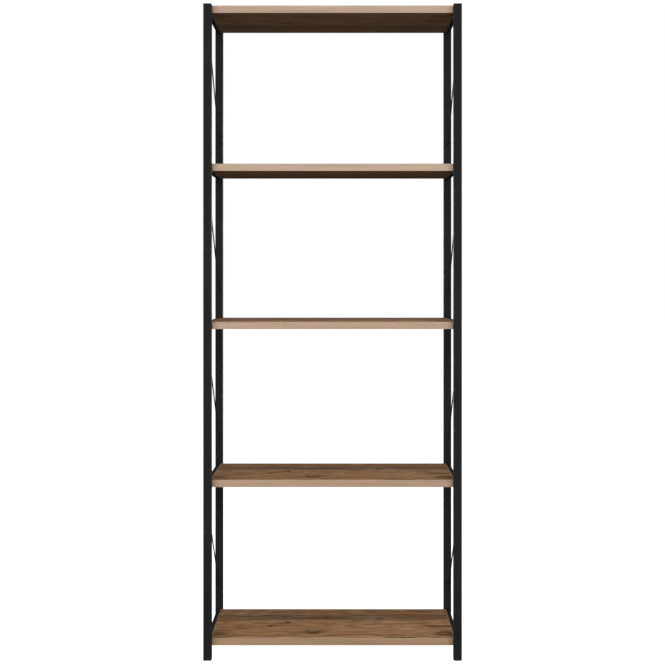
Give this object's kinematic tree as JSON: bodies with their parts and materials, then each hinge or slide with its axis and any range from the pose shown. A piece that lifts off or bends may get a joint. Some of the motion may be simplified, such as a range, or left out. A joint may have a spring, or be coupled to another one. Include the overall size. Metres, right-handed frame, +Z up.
{
  "type": "open bookcase",
  "caption": "Tall open bookcase with wood-effect boards screwed to the rails of black welded steel side frames, which thin bent rods brace.",
  "frame": {"origin": "on the floor at the centre of the footprint", "axes": "+Z up, +X to the right seen from the front, the front faces -Y"},
  "size_m": [0.63, 0.3, 1.6],
  "materials": {
    "frame_steel": "black powder coat, satin, fine texture",
    "board_wood": "brown wood-effect decor foil with long grain, dark streaks, knots and cracks, matt",
    "edge_band": "paler grey-brown wood-effect edge band, matt",
    "black_plastic": "moulded black polyethylene, matt",
    "screw_steel": "black zinc plated steel"
  },
  "bodies": {
    "root": {"post_left_front": "frame_steel", "post_left_rear": "frame_steel", "post_right_front": "frame_steel", "post_right_rear": "frame_steel", "rail_left_1": "frame_steel", "rail_left_2": "frame_steel", "rail_left_3": "frame_steel", "rail_left_4": "frame_steel", "rail_left_5": "frame_steel", "rail_right_1": "frame_steel", "rail_right_2": "frame_steel", "rail_right_3": "frame_steel", "rail_right_4": "frame_steel", "rail_right_5": "frame_steel", "brace_rod_left_1": "frame_steel", "brace_rod_left_2": "frame_steel", "brace_rod_left_3": "frame_steel", "brace_rod_left_4": "frame_steel", "brace_rod_right_1": "frame_steel", "brace_rod_right_2": "frame_steel", "brace_rod_right_3": "frame_steel", "brace_rod_right_4": "frame_steel", "board_1": "board_wood", "board_2": "board_wood", "board_3": "board_wood", "board_4": "board_wood", "board_5": "board_wood", "edge_band_1": "edge_band", "edge_band_2": "edge_band", "edge_band_3": "edge_band", "edge_band_4": "edge_band", "edge_band_5": "edge_band", "top_cap_left_front": "black_plastic", "foot_left_front": "black_plastic", "top_cap_left_rear": "black_plastic", "foot_left_rear": "black_plastic", "top_cap_right_front": "black_plastic", "foot_right_front": "black_plastic", "top_cap_right_rear": "black_plastic", "foot_right_rear": "black_plastic", "screw_left_1_front": "screw_steel", "screw_left_1_rear": "screw_steel", "screw_left_2_front": "screw_steel", "screw_left_2_rear": "screw_steel", "screw_left_3_front": "screw_steel", "screw_left_3_rear": "screw_steel", "screw_left_4_front": "screw_steel", "screw_left_4_rear": "screw_steel", "screw_left_5_front": "screw_steel", "screw_left_5_rear": "screw_steel", "screw_right_1_front": "screw_steel", "screw_right_1_rear": "screw_steel", "screw_right_2_front": "screw_steel", "screw_right_2_rear": "screw_steel", "screw_right_3_front": "screw_steel", "screw_right_3_rear": "screw_steel", "screw_right_4_front": "screw_steel", "screw_right_4_rear": "screw_steel", "screw_right_5_front": "screw_steel", "screw_right_5_rear": "screw_steel"}
  },
  "joints": []
}
